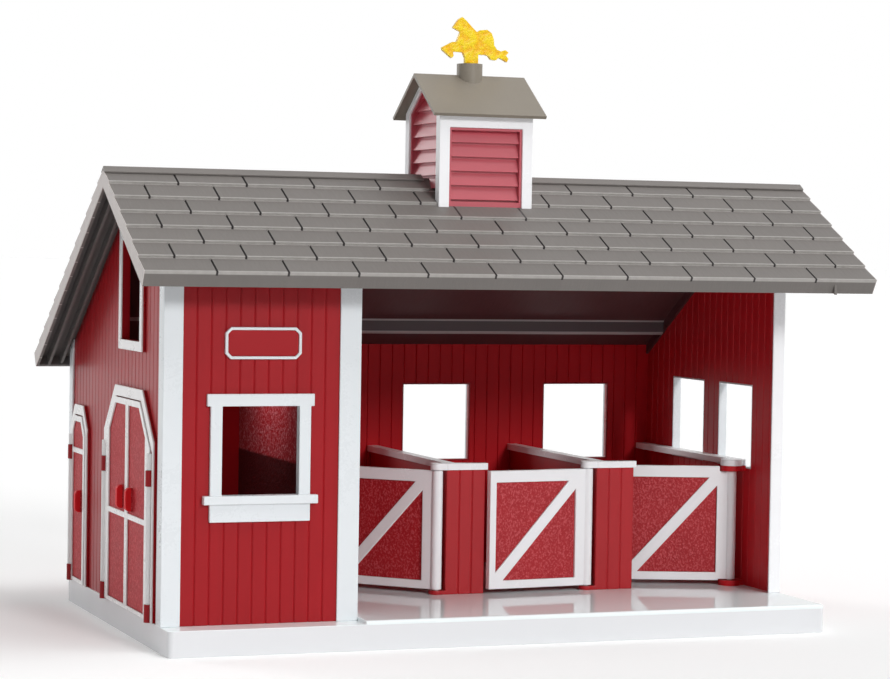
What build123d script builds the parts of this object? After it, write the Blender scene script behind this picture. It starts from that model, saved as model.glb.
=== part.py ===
from build123d import *
import math
import os

os.makedirs("parts", exist_ok=True)

# Toy barn with a closed room on the left, three stalls behind a porch on the right, and a cupola.
# Origin: centre of the base's underside.  +X right, +Y back, +Z up.  Millimetres.

# ---------------------------------------------------------------- base
base_width = 300.0
base_depth = 185.0
deck_height = 12.5
ledge_step = 1.5
base_corner = 2.5
base_edge = 1.2
base_shell = 2.4
base_rib = 2.0
base_rib_pitch = 75.0

# ---------------------------------------------------------------- walls
wall = 2.4
wall_setback = 0.8
right_setback = 1.65
room_setback = 12.7
room_width = 83.1
porch_depth = 42.5
board_pitch = 6.2
board_groove = 0.5
board_groove_width = 0.9

# ---------------------------------------------------------------- roof
ridge_height = 199.6
ridge_setback = 59.3
front_pitch = 30.4
back_pitch = 31.8
front_overhang = 13.4
back_overhang = 9.7
roof_overhang = 15.0
roof_skin = 2.4
fascia_depth = 7.2
fascia_wall = 1.6
barge_wall = 1.4
rib_wall = 1.2
rib_depth = 6.5
rib_offsets = (3.0, 9.0)
tie_inset = 19.3
tie_wall = 1.6
tie_depth = 7.3
front_row_count = 7
back_row_count = 13
shingle_step = 1.0
shingle_length = 30.0
shingle_slit = 1.0
shingle_slit_depth = 0.6
ridge_strip_width = 4.0
ridge_strip_height = 1.0

# ---------------------------------------------------------------- trim
trim_height = 1.8
post_height = 1.0
post_front = 8.3
post_side = 6.8
post_back = 5.5
post_right = 4.85

# ---------------------------------------------------------------- doors in the left wall
pair_setback = 67.7
pair_width = 87.2
pair_top = 106.4
pair_shoulder = 86.0
pair_flat = 48.0
single_inset = 22.4
single_width = 32.6
single_top = 93.2
single_shoulder = 83.0
single_flat = 17.0
leg_width = 2.0
header_height = 4.7
arch_width = 4.6
single_arch_width = 3.4
leaf_gap = 0.4
leaf_thickness = 1.9
leaf_offset = 0.35
leaf_barrel = 1.6
leaf_pin = 0.9
leaf_pin_length = 3.0
pin_clearance = 0.05
ear_margin = 0.3
ear_bottom = 18.4
ear_top = 67.5
ear_height = 6.5
outer_stile = 7.6
single_outer_stile = 2.6
meeting_stile = 2.1
mid_rail = 2.3
pair_mid_rail = 50.3
single_mid_rail = 71.0
top_rail = 2.6
bottom_rail = 1.6
panel_recess = 0.7
panel_thickness = 1.0
pull_height = 10.0
pull_width = 3.0
pull_proud = 2.4
pull_level = 59.0
pull_offset = 7.8
single_pull_level = 49.3
single_pull_inset = 8.0

# ---------------------------------------------------------------- openings
loft_width = 33.0
loft_drift = 1.5
loft_rise = 20.0
loft_drop = 30.6
loft_jamb = 3.9
loft_rail = 4.2
front_window_centre = 41.45
front_window_width = 33.1
front_window_sill = 64.6
front_window_top = 101.4
front_window_jamb = 5.0
front_window_header_width = 46.1
front_window_header = 5.1
sill_board_width = 49.0
sill_board_height = 3.6
sill_board_depth = 3.6
apron_width = 43.2
apron_height = 7.4
side_window_width = 33.5
side_window_sill = 68.0
side_window_top = 105.8
side_window_start = 83.75
side_window_pitch = 50.5
back_window_width = 34.0
back_window_height = 36.8
back_window_drop = 18.3
back_window_start = 23.7
back_window_drift = 1.0
window_trim = 3.6
window_lip = 0.8
door_lip = 2.6

# ---------------------------------------------------------------- stalls and gates
stall_setback = 71.4
column_width = 18.4
column_height = 68.5
cap_height = 3.0
cap_lip = 0.9
rail_cap_width = 5.0
jamb_gap = 0.7
gate_axis_depth = 2.5
hinge_to_column = 3.7
hinge_inset = 14.4
lug_inset = 6.25
gate_barrel = 2.5
gate_pin = 1.2
gate_thickness = 3.2
gate_top_rail = 5.3
gate_bottom_rail = 3.7
gate_free_stile = 3.2
gate_hinge_stile = 6.7
gate_brace = 3.8
gate_panel = 1.2
gate_gap = 0.4
boss_radius = 3.2
foot_height = 1.8
lug_radius = 5.2
lug_height = 2.4
gate_angles = (47.0, -5.5, 19.0)

# ---------------------------------------------------------------- cupola and vane
cupola_centre = 149.5
cupola_width = 43.5
cupola_depth = 44.1
cupola_post = 4.8
cupola_wall = 2.0
cupola_header_rise = 20.6
cupola_ridge_rise = 44.7
cupola_slope = 34.2
cupola_roof_run = 27.0
cupola_roof_length = 52.2
cupola_roof_skin = 1.4
cupola_rake = 3.0
louvre_count = 5
side_louvre_pitch = 5.7
louvre_reveal = 0.8
louvre_lip = 1.5
louvre_deep = 3.5
louvre_skin = 1.0
louvre_gap = 0.9
louvre_liner = 1.1
collar_radius = 5.7
collar_rise = 5.0
vane_pin = 2.0
vane_pin_length = 6.0
vane_gap = 0.4
vane_unit = 1.0
vane_thickness = 2.2

# ---------------------------------------------------------------- sign
sign_width = 32.8
sign_height = 13.2
sign_centre = 42.2
sign_level = 127.4
sign_rim = 1.2
sign_thickness = 1.6
sign_corner = 1.6

# ---------------------------------------------------------------- derived planes
left = -base_width / 2
right = base_width / 2
front = -base_depth / 2
back = base_depth / 2
ledge_height = deck_height - ledge_step
left_face = left + wall_setback
right_face = right - right_setback
back_face = back - wall_setback
room_face = front + room_setback
partition_face = left_face + room_width
porch_face = front + porch_depth
stall_face = front + stall_setback
ridge_y = front + ridge_setback
inner_left = left_face + wall
inner_right = right_face - wall
inner_back = back_face - wall
roof_left = left - roof_overhang
roof_right = right + roof_overhang
front_cos = math.cos(math.radians(front_pitch))
front_sin = math.sin(math.radians(front_pitch))
back_cos = math.cos(math.radians(back_pitch))
back_sin = math.sin(math.radians(back_pitch))
front_slope = (ridge_y - front + front_overhang) / front_cos
back_slope = (back + back_overhang - ridge_y) / back_cos
stall_pitch = (inner_right - lug_inset + hinge_inset - partition_face) / 3
gate_length = stall_pitch - hinge_to_column - column_width - jamb_gap
cupola_header = ridge_height + cupola_header_rise
cupola_ridge = ridge_height + cupola_ridge_rise
collar_top = cupola_ridge + collar_rise
vane_bottom = collar_top + vane_gap


def on_front(run, height):
    """Point (y, z) at a distance down the front slope and a height above its outer face."""
    return (ridge_y - run * front_cos - height * front_sin, ridge_height - run * front_sin + height * front_cos)


def on_back(run, height):
    """Point (y, z) at a distance down the back slope and a height above its outer face."""
    return (ridge_y + run * back_cos + height * back_sin, ridge_height - run * back_sin + height * back_cos)


def under_roof(y, depth=roof_skin):
    """Height of the roof's inner face over y."""
    if y < ridge_y:
        return ridge_height - (ridge_y - y) * front_sin / front_cos - depth / front_cos
    return ridge_height - (y - ridge_y) * back_sin / back_cos - depth / back_cos


def under_peak(depth=roof_skin):
    """The point (y, z) under the ridge where the two inner faces meet."""
    drop = depth / front_cos - depth / back_cos
    shift = drop / (front_sin / front_cos + back_sin / back_cos)
    return (ridge_y + shift, ridge_height - shift * back_sin / back_cos - depth / back_cos)


def prism(points, plane, amount, mode=Mode.ADD):
    """Extrude a closed outline of straight edges."""
    with BuildSketch(plane) as outline:
        Polygon(*points)
    extrude(outline.sketch, amount=amount, mode=mode)


def slab(x0, x1, y0, y1, z0, z1, mode=Mode.ADD):
    """A straight board between two corners."""
    with BuildSketch(Plane.XY.offset(z0)) as outline:
        Polygon((x0, y0), (x1, y0), (x1, y1), (x0, y1))
    extrude(outline.sketch, amount=z1 - z0, mode=mode)


def post(x, y, radius, z0, z1, mode=Mode.ADD):
    """An upright round."""
    with BuildSketch(Plane((x, y, z0))) as outline:
        Circle(radius)
    extrude(outline.sketch, amount=z1 - z0, mode=mode)


def finish(part, name):
    part.label = name
    export_step(part, "parts/" + name + ".step")


# ================================================================ base tray
with BuildPart() as base_tray:
    with BuildSketch():
        Rectangle(base_width, base_depth)
    extrude(amount=deck_height)
    fillet(base_tray.edges().filter_by(Axis.Z), radius=base_corner)
    # the room stands on a lower ledge along the left side and the front
    slab(left, left_face + wall, front, back, ledge_height, deck_height, Mode.SUBTRACT)
    slab(left, partition_face, front, room_face + wall, ledge_height, deck_height, Mode.SUBTRACT)
    slab(left, partition_face + post_height, front, room_face, ledge_height, deck_height, Mode.SUBTRACT)
    outer_rim = base_tray.faces().group_by(Axis.Z)[-1].edges()
    fillet(outer_rim.filter_by_position(Axis.X, right - base_corner, right), radius=base_edge)
    # open underside with ribs both ways
    with BuildSketch():
        Rectangle(base_width - 2 * base_shell, base_depth - 2 * base_shell)
        with GridLocations(base_rib_pitch, base_depth, 3, 1):
            Rectangle(base_rib, base_depth, mode=Mode.SUBTRACT)
        Rectangle(base_width, base_rib, mode=Mode.SUBTRACT)
    extrude(amount=ledge_height - base_shell, mode=Mode.SUBTRACT)
finish(base_tray.part, "base_tray")


# ================================================================ walls
def gable_outline(y0, y1, bottom):
    """Side of the house between two depths, up to the roof's inner faces."""
    return [(y0, bottom), (y1, bottom), (y1, under_roof(y1)), under_peak(), (y0, under_roof(y0))]


def cut_to_roof():
    """Trim what stands under the roof to its inner faces."""
    y0 = front - roof_overhang
    y1 = back + roof_overhang
    above = ridge_height + roof_skin
    outline = [(y0, under_roof(y0)), under_peak(), (y1, under_roof(y1)), (y1, above), (y0, above)]
    prism(outline, Plane.YZ.offset(roof_left), roof_right - roof_left, Mode.SUBTRACT)


def board_lines(face, inward, start, end, along_x=False):
    """Upright V lines that part a wall's face into boards, along y on the side walls."""
    count = max(2, round((end - start) / board_pitch))
    half = board_groove_width / 2
    with BuildSketch(Plane.XY.offset(ledge_height - 1)) as lines:
        for index in range(1, count):
            run = start + index * (end - start) / count
            groove = ((run - half, -0.2), (run, board_groove), (run + half, -0.2))
            if along_x:
                Polygon(*[(step, face + inward * depth) for step, depth in groove])
            else:
                Polygon(*[(face + inward * depth, step) for step, depth in groove])
    extrude(lines.sketch, amount=ridge_height - ledge_height + 2, mode=Mode.SUBTRACT)


def arch(centre, width, shoulder, flat, top, bottom, leg=0.0, slant=0.0, header=0.0):
    """Barn-door outline with cut corners, moved in by a leg, slant and header width."""
    half = width / 2
    run = half - flat / 2
    rise = top - shoulder
    length = math.hypot(run, rise)
    y_slant = half - slant * rise / length
    z_slant = shoulder - slant * run / length
    z_shoulder = z_slant + (y_slant - half + leg) * rise / run
    y_flat = y_slant - (top - header - z_slant) * run / rise
    return [
        (centre - half + leg, bottom),
        (centre - half + leg, z_shoulder),
        (centre - y_flat, top - header),
        (centre + y_flat, top - header),
        (centre + half - leg, z_shoulder),
        (centre + half - leg, bottom),
    ]


def pair_arch(bottom, inset):
    """Double-door outline moved in from the surround's outer edge by its ring and an inset."""
    if inset is None:
        return arch(pair_y, pair_width, pair_shoulder, pair_flat, pair_top, bottom)
    return arch(pair_y, pair_width, pair_shoulder, pair_flat, pair_top, bottom,
                leg_width + inset, arch_width + inset, header_height + inset)


def single_arch(bottom, inset):
    """Single-door outline moved in from the surround's outer edge by its ring and an inset."""
    if inset is None:
        return arch(single_y, single_width, single_shoulder, single_flat, single_top, bottom)
    return arch(single_y, single_width, single_shoulder, single_flat, single_top, bottom,
                leg_width + inset, single_arch_width + inset, header_height + inset)


def hole(plane, centre, width, sill, top, through):
    """Window hole in a wall, with room for the frame's sleeve."""
    with BuildSketch(plane) as outline:
        with Locations((centre, (sill + top) / 2)):
            Rectangle(width + 2 * window_lip, top - sill + 2 * window_lip)
    extrude(outline.sketch, amount=through, mode=Mode.SUBTRACT)


def ear(y, z0, z1):
    """Hinge ear on the left wall, bored for a leaf's pin."""
    radius = leaf_barrel + ear_margin
    with BuildSketch(Plane.XY.offset(z0)) as outline:
        with Locations((leaf_axis_x, y)):
            Circle(radius)
        with Locations(((leaf_axis_x + left_face) / 2, y)):
            Rectangle(left_face - leaf_axis_x, 2 * radius)
        with Locations((leaf_axis_x, y)):
            Circle(leaf_pin + pin_clearance, mode=Mode.SUBTRACT)
    extrude(outline.sketch, amount=z1 - z0)


pair_y = front + pair_setback
single_y = back_face - single_inset
leaf_axis_x = left_face - leaf_barrel - ear_margin
pair_axes = (
    pair_y - pair_width / 2 + leg_width + leaf_gap + leaf_barrel,
    pair_y + pair_width / 2 - leg_width - leaf_gap - leaf_barrel,
)
single_axis = single_y + single_width / 2 - leg_width - leaf_gap - leaf_barrel
loft_y = pair_y - loft_drift
loft_sill = pair_top + loft_rise
loft_top = ridge_height - loft_drop

with BuildPart() as left_gable_wall:
    prism(gable_outline(room_face, back_face, ledge_height), Plane.YZ.offset(left_face), wall)
    outside = Plane.YZ.offset(left_face - 1)
    prism(pair_arch(deck_height, leaf_gap + door_lip), outside, wall + 2, Mode.SUBTRACT)
    prism(single_arch(deck_height, leaf_gap + door_lip), outside, wall + 2, Mode.SUBTRACT)
    hole(outside, loft_y, loft_width, loft_sill, loft_top, wall + 2)
    board_lines(left_face, 1, room_face + post_side, back_face - post_back)
    for axis_y in (pair_axes[0], pair_axes[1], single_axis):
        ear(axis_y, ledge_height, ear_bottom)
        ear(axis_y, ear_top, ear_top + ear_height)
finish(left_gable_wall.part, "left_gable_wall")

gate_axis_y = stall_face + gate_axis_depth
gate_axes = [partition_face - hinge_inset + (index + 1) * stall_pitch for index in range(3)]
side_windows = [front + side_window_start + index * side_window_pitch for index in range(2)]
back_windows = [
    partition_face + back_window_start + index * (stall_pitch + back_window_drift) for index in range(3)
]
back_window_top = under_roof(back_face) - back_window_drop
back_window_sill = back_window_top - back_window_height

with BuildPart() as right_gable_wall:
    prism(gable_outline(porch_face, back_face, deck_height), Plane.YZ.offset(right_face - wall), wall)
    for window_y in side_windows:
        hole(Plane.YZ.offset(right_face - wall - 1), window_y, side_window_width, side_window_sill,
             side_window_top, wall + 2)
    board_lines(inner_right, 1, porch_face, inner_back)
    board_lines(right_face, -1, porch_face + post_side, back_face - post_back)
    # lugs above and below the last gate's barrel
    for z0, z1 in ((deck_height, deck_height + lug_height), (column_height - lug_height, column_height)):
        slab(gate_axes[2], inner_right, stall_face, gate_axis_y, z0, z1)
        slab(gate_axes[2], inner_right, gate_axis_y, gate_axis_y + lug_radius, z0, z1)
        post(gate_axes[2], gate_axis_y, lug_radius, z0, z1)
    post(gate_axes[2], gate_axis_y, gate_pin + pin_clearance, deck_height, column_height, Mode.SUBTRACT)
finish(right_gable_wall.part, "right_gable_wall")

with BuildPart() as back_wall:
    slab(inner_left, inner_right, inner_back, back_face, deck_height, ridge_height)
    cut_to_roof()
    for window_x in back_windows:
        hole(Plane.XZ.offset(-back_face - 1), window_x, back_window_width, back_window_sill,
             back_window_top, wall + 2)
    board_lines(inner_back, 1, partition_face, inner_right, True)
    corner = post_front - post_height
    board_lines(back_face, -1, left_face + corner, right_face - corner, True)
finish(back_wall.part, "back_wall")

window_x = left + front_window_centre
with BuildPart() as front_room_wall:
    slab(inner_left, partition_face, room_face, room_face + wall, ledge_height, ridge_height)
    cut_to_roof()
    hole(Plane.XZ.offset(-room_face + 1), window_x, front_window_width, front_window_sill,
         front_window_top, -wall - 2)
    board_lines(room_face, 1, left_face - post_height + post_front, partition_face - post_front, True)
finish(front_room_wall.part, "front_room_wall")

with BuildPart() as partition_wall:
    prism(gable_outline(room_face + wall, inner_back, deck_height), Plane.YZ.offset(partition_face - wall), wall)
finish(partition_wall.part, "partition_wall")


# ================================================================ stalls
divider_inset = (rail_cap_width - wall) / 2


def divider(index):
    """Three-board column with the divider wall behind it and the foot of the gate hinge."""
    x0 = gate_axes[index] + hinge_to_column
    slab(x0, x0 + column_width, stall_face, stall_face + wall, deck_height, column_height)
    board_lines(stall_face, 1, x0, x0 + column_width, True)
    slab(x0 + divider_inset, x0 + divider_inset + wall, stall_face + wall, inner_back, deck_height, column_height)
    foot_top = deck_height + foot_height
    slab(gate_axes[index], x0, stall_face, gate_axis_y + boss_radius, deck_height, foot_top)
    slab(x0, x0 + divider_inset, stall_face + wall, gate_axis_y + boss_radius, deck_height, foot_top)
    post(gate_axes[index], gate_axis_y, boss_radius, deck_height, foot_top)
    post(gate_axes[index], gate_axis_y, gate_pin + pin_clearance, deck_height, foot_top, Mode.SUBTRACT)


def divider_cap(index):
    """White cap: a front board, a rail back to the wall and the boss that holds the gate's top pin."""
    x0 = gate_axes[index] + hinge_to_column
    y0 = stall_face - cap_lip
    slab(x0, x0 + column_width + cap_lip, y0, stall_face + wall + cap_lip,
         column_height, column_height + cap_height)
    slab(x0, x0 + rail_cap_width, y0, inner_back, column_height, column_height + cap_height)
    slab(gate_axes[index], x0, gate_axis_y - boss_radius, gate_axis_y + boss_radius,
         column_height, column_height + cap_height)
    post(gate_axes[index], gate_axis_y, boss_radius, column_height, column_height + cap_height)
    post(gate_axes[index], gate_axis_y, gate_pin + pin_clearance, column_height,
         column_height + cap_height - 1.0, Mode.SUBTRACT)


with BuildPart() as stall_divider_1:
    divider(0)
finish(stall_divider_1.part, "stall_divider_1")

with BuildPart() as stall_divider_2:
    divider(1)
finish(stall_divider_2.part, "stall_divider_2")

with BuildPart() as divider_cap_1:
    divider_cap(0)
finish(divider_cap_1.part, "divider_cap_1")

with BuildPart() as divider_cap_2:
    divider_cap(1)
finish(divider_cap_2.part, "divider_cap_2")

jamb_x = gate_axes[0] - gate_length - jamb_gap
with BuildPart() as stall_jamb:
    slab(partition_face, jamb_x, stall_face, stall_face + wall, deck_height, column_height)
finish(stall_jamb.part, "stall_jamb")

with BuildPart() as right_ledge:
    z0 = column_height
    ledge_x = inner_right - rail_cap_width - cap_lip
    slab(ledge_x, inner_right, stall_face, inner_back, z0, z0 + cap_height)
    slab(gate_axes[2], inner_right, stall_face, gate_axis_y, z0, z0 + cap_height)
    post(gate_axes[2], gate_axis_y, lug_radius, z0, z0 + cap_height)
    post(gate_axes[2], gate_axis_y, gate_pin + pin_clearance, z0, z0 + cap_height - 1.0, Mode.SUBTRACT)
finish(right_ledge.part, "right_ledge")


# ================================================================ stall gates
def gate_plane(index):
    """Upright plane through a gate's hinge axis, x along the gate as it stands at rest, y up."""
    angle = math.radians(gate_angles[index])
    along = (-math.cos(angle), math.sin(angle), 0)
    return Plane((gate_axes[index], gate_axis_y, 0), x_dir=along, z_dir=(math.sin(angle), math.cos(angle), 0))


def board(plane, u0, u1, v0, v1, thickness, mode=Mode.ADD):
    """A flat board centred on an upright plane."""
    with BuildSketch(plane) as outline:
        Polygon((u0, v0), (u1, v0), (u1, v1), (u0, v1))
    extrude(outline.sketch, amount=thickness / 2, both=True, mode=mode)


gate_bottom = deck_height + foot_height + gate_gap
gate_top = column_height - gate_gap
panel_u0 = gate_hinge_stile
panel_u1 = gate_length - gate_free_stile
panel_v0 = gate_bottom + gate_bottom_rail
panel_v1 = gate_top - gate_top_rail


def gate_frame(index, barrel_bottom, barrel_top, hinge_radius, pin_bottom, pin_top):
    """Frame with a diagonal brace, a barrel between the hinge plates and a pin at each end."""
    plane = gate_plane(index)
    board(plane, 0, gate_length, gate_bottom, gate_top, gate_thickness)
    board(plane, panel_u0, panel_u1, panel_v0, panel_v1, gate_thickness, Mode.SUBTRACT)
    slope = math.atan2(panel_v1 - panel_v0, panel_u0 - panel_u1)
    du = gate_brace / 2 * abs(math.sin(slope))
    dv = gate_brace / 2 * abs(math.cos(slope))
    with BuildSketch(plane) as brace:
        Polygon(
            (panel_u1 + 1, panel_v0 - 1),
            (panel_u1 + 1, panel_v0 + 2 * dv),
            (panel_u0 + 2 * du, panel_v1 + 1),
            (panel_u0 - 1, panel_v1 + 1),
            (panel_u0 - 1, panel_v1 - 2 * dv),
            (panel_u1 - 2 * du, panel_v0 - 1),
        )
    extrude(brace.sketch, amount=gate_thickness / 2, both=True)
    board(plane, panel_u0, panel_u1, panel_v0, panel_v1, gate_panel, Mode.SUBTRACT)
    if barrel_top < gate_top:
        board(plane, -1, hinge_radius, barrel_top, gate_top + 1, gate_thickness + 1, Mode.SUBTRACT)
        board(plane, -1, hinge_radius, gate_bottom - 1, barrel_bottom, gate_thickness + 1, Mode.SUBTRACT)
    post(gate_axes[index], gate_axis_y, gate_barrel, barrel_bottom, barrel_top)
    post(gate_axes[index], gate_axis_y, gate_pin, pin_bottom, pin_top)


def gate_infill(index):
    """Panel held in the gate's frame."""
    board(gate_plane(index), panel_u0, panel_u1, panel_v0, panel_v1, gate_panel)


pin_floor = deck_height + gate_gap
pin_roof = column_height + cap_height - 1.0 - gate_gap
lug_floor = deck_height + lug_height + gate_gap
lug_roof = column_height - lug_height - gate_gap

with BuildPart() as gate_frame_1:
    gate_frame(0, gate_bottom, gate_top, lug_radius, pin_floor, pin_roof)
finish(gate_frame_1.part, "gate_frame_1")

with BuildPart() as gate_frame_2:
    gate_frame(1, gate_bottom, gate_top, lug_radius, pin_floor, pin_roof)
finish(gate_frame_2.part, "gate_frame_2")

with BuildPart() as gate_frame_3:
    gate_frame(2, lug_floor, lug_roof, lug_radius + gate_gap, pin_floor, pin_roof)
finish(gate_frame_3.part, "gate_frame_3")

with BuildPart() as gate_panel_1:
    gate_infill(0)
finish(gate_panel_1.part, "gate_panel_1")

with BuildPart() as gate_panel_2:
    gate_infill(1)
finish(gate_panel_2.part, "gate_panel_2")

with BuildPart() as gate_panel_3:
    gate_infill(2)
finish(gate_panel_3.part, "gate_panel_3")


# ================================================================ door surrounds and leaves
def surround(outer, inner):
    """Raised ring round a door opening, open at the bottom."""
    prism(outer, Plane.YZ.offset(left_face), -trim_height)
    prism(inner, Plane.YZ.offset(left_face), -trim_height, Mode.SUBTRACT)


with BuildPart() as double_door_surround:
    surround(pair_arch(ledge_height, None), pair_arch(ledge_height, 0.0))
finish(double_door_surround.part, "double_door_surround")

with BuildPart() as single_door_surround:
    surround(single_arch(ledge_height, None), single_arch(ledge_height, 0.0))
finish(single_door_surround.part, "single_door_surround")

leaf_back = left_face - leaf_offset
leaf_front = leaf_back - leaf_thickness
leaf_bottom = ledge_height + leaf_gap + 0.2
notch = leaf_barrel + 2 * ear_margin


def beyond(y, side, amount=200.0):
    """Depth range on one side of y."""
    return (y, y + amount) if side > 0 else (y - amount, y)


def leaf_blank(outline, axis_y, side, free_edge):
    """Leaf without its barrel: the door outline between its hinge axis and its free edge."""
    prism(outline, Plane.YZ.offset(leaf_back), -leaf_thickness)
    y0, y1 = beyond(axis_y, -side)
    slab(left_face - 10, left_face + 10, y0, y1, 0, ridge_height, Mode.SUBTRACT)
    y0, y1 = beyond(free_edge, side)
    slab(left_face - 10, left_face + 10, y0, y1, 0, ridge_height, Mode.SUBTRACT)


def leaf_field(inner, axis_y, stile, side, free_edge, panel_top, depth0, depth1, mode=Mode.ADD):
    """Field of a leaf inside its stiles and rails, between two depths behind its front face."""
    with BuildSketch(Plane.YZ.offset(leaf_front + depth0)) as field:
        Polygon(*inner)
        y0, y1 = sorted((axis_y + side * stile, free_edge - side * meeting_stile))
        with BuildSketch(mode=Mode.INTERSECT):
            with Locations(((y0 + y1) / 2, (leaf_bottom + bottom_rail + panel_top) / 2)):
                Rectangle(y1 - y0, panel_top - leaf_bottom - bottom_rail)
    extrude(field.sketch, amount=depth1 - depth0, mode=mode)


def leaf_frame(outline, inner, axis_y, stile, side, free_edge, panel_top, rail_level, barrel_end):
    """White frame with its two barrels, two pins and the middle rail in front of the panel."""
    leaf_blank(outline, axis_y, side, free_edge)
    leaf_field(inner, axis_y, stile, side, free_edge, panel_top, -1, leaf_thickness + 1, Mode.SUBTRACT)
    y0, y1 = sorted((axis_y + side * (stile - 0.5), free_edge - side * (meeting_stile - 0.5)))
    slab(leaf_front, leaf_front + panel_recess, y0, y1, rail_level, rail_level + mid_rail)
    lower = ear_bottom + 0.2
    upper = ear_top - 0.2
    above = ear_top + ear_height + 0.2
    y0, y1 = sorted((axis_y - side, axis_y + side * notch))
    slab(leaf_front - 1, leaf_back + 1, y0, y1, leaf_bottom - 1, lower, Mode.SUBTRACT)
    slab(leaf_front - 1, leaf_back + 1, y0, y1, upper, above, Mode.SUBTRACT)
    post(leaf_axis_x, axis_y, leaf_barrel, lower, upper)
    post(leaf_axis_x, axis_y, leaf_barrel, above, barrel_end)
    post(leaf_axis_x, axis_y, leaf_pin, lower - leaf_pin_length, lower)
    post(leaf_axis_x, axis_y, leaf_pin, upper, upper + leaf_pin_length)


def leaf_panel(inner, axis_y, stile, side, free_edge, panel_top, pull_y, pull_z):
    """Red panel behind the frame with its pull."""
    depth1 = panel_recess + panel_thickness
    leaf_field(inner, axis_y, stile, side, free_edge, panel_top, panel_recess, depth1)
    with BuildSketch(Plane.XZ.offset(-pull_y)) as pull:
        with Locations((leaf_front + (panel_recess - pull_proud) / 2, pull_z)):
            Rectangle(pull_proud + panel_recess, pull_height)
        fillet(pull.vertices().group_by(Axis.X)[0], radius=pull_proud * 0.8)
    extrude(pull.sketch, amount=pull_width / 2, both=True)


pair_outline = pair_arch(leaf_bottom, leaf_gap)
pair_field = pair_arch(leaf_bottom, leaf_gap + top_rail)
pair_panel_top = pair_top - header_height - leaf_gap - top_rail
single_outline = single_arch(leaf_bottom, leaf_gap)
single_field = single_arch(leaf_bottom, leaf_gap + top_rail)
single_panel_top = single_top - header_height - leaf_gap - top_rail
single_free = single_y - single_width / 2 + leg_width + leaf_gap
pair_free = (pair_y - leaf_gap / 2, pair_y + leaf_gap / 2)

with BuildPart() as double_leaf_frame_1:
    leaf_frame(pair_outline, pair_field, pair_axes[0], outer_stile, 1, pair_free[0], pair_panel_top,
               pair_mid_rail, pair_shoulder - 5)
finish(double_leaf_frame_1.part, "double_leaf_frame_1")

with BuildPart() as double_leaf_frame_2:
    leaf_frame(pair_outline, pair_field, pair_axes[1], outer_stile, -1, pair_free[1], pair_panel_top,
               pair_mid_rail, pair_shoulder - 5)
finish(double_leaf_frame_2.part, "double_leaf_frame_2")

with BuildPart() as single_leaf_frame:
    leaf_frame(single_outline, single_field, single_axis, single_outer_stile, -1, single_free, single_panel_top,
               single_mid_rail, single_shoulder - 4)
finish(single_leaf_frame.part, "single_leaf_frame")

with BuildPart() as double_leaf_panel_1:
    leaf_panel(pair_field, pair_axes[0], outer_stile, 1, pair_free[0], pair_panel_top,
               pair_y - pull_offset, pull_level)
finish(double_leaf_panel_1.part, "double_leaf_panel_1")

with BuildPart() as double_leaf_panel_2:
    leaf_panel(pair_field, pair_axes[1], outer_stile, -1, pair_free[1], pair_panel_top,
               pair_y + pull_offset, pull_level)
finish(double_leaf_panel_2.part, "double_leaf_panel_2")

with BuildPart() as single_leaf_panel:
    leaf_panel(single_field, single_axis, single_outer_stile, -1, single_free, single_panel_top,
               single_free + single_pull_inset, single_pull_level)
finish(single_leaf_panel.part, "single_leaf_panel")


# ================================================================ window and loft frames
def window_frame(plane, outward, centre, width, sill, top, jamb, rail):
    """Trim on the wall's outer face and a sleeve that lines the hole."""
    middle = (centre, (sill + top) / 2)
    with BuildSketch(plane) as trim:
        with Locations(middle):
            Rectangle(width + 2 * jamb, top - sill + 2 * rail)
            Rectangle(width, top - sill, mode=Mode.SUBTRACT)
    extrude(trim.sketch, amount=outward * trim_height)
    with BuildSketch(plane) as sleeve:
        with Locations(middle):
            Rectangle(width + 2 * window_lip, top - sill + 2 * window_lip)
            Rectangle(width, top - sill, mode=Mode.SUBTRACT)
    extrude(sleeve.sketch, amount=-outward * wall)


with BuildPart() as loft_frame:
    window_frame(Plane.YZ.offset(left_face), -1, loft_y, loft_width, loft_sill, loft_top, loft_jamb, loft_rail)
finish(loft_frame.part, "loft_frame")

with BuildPart() as front_window_frame:
    front_plane = Plane.XZ.offset(-room_face)
    window_frame(front_plane, 1, window_x, front_window_width, front_window_sill, front_window_top,
                 front_window_jamb, window_lip)
    half = front_window_header_width / 2
    slab(window_x - half, window_x + half, room_face - trim_height, room_face,
         front_window_top, front_window_top + front_window_header)
    half = sill_board_width / 2
    slab(window_x - half, window_x + half, room_face - sill_board_depth, room_face,
         front_window_sill - sill_board_height, front_window_sill)
    half = apron_width / 2
    slab(window_x - half, window_x + half, room_face - trim_height, room_face,
         front_window_sill - sill_board_height - apron_height, front_window_sill - sill_board_height)
finish(front_window_frame.part, "front_window_frame")

for index, window_y in enumerate(side_windows):
    with BuildPart() as side_window_frame:
        window_frame(Plane.YZ.offset(right_face), 1, window_y, side_window_width, side_window_sill,
                     side_window_top, window_trim, window_trim)
    finish(side_window_frame.part, "side_window_frame_" + str(index + 1))

for index, centre_x in enumerate(back_windows):
    with BuildPart() as back_window_frame:
        window_frame(Plane.XZ.offset(-back_face), -1, centre_x, back_window_width, back_window_sill,
                     back_window_top, window_trim, window_trim)
    finish(back_window_frame.part, "back_window_frame_" + str(index + 1))

# ================================================================ corner posts
with BuildPart() as post_left_front:
    slab(left_face - post_height, left_face - post_height + post_front, room_face - post_height, room_face,
         ledge_height, ridge_height)
    slab(left_face - post_height, left_face, room_face, room_face + post_side, ledge_height, ridge_height)
    cut_to_roof()
finish(post_left_front.part, "post_left_front")

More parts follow.
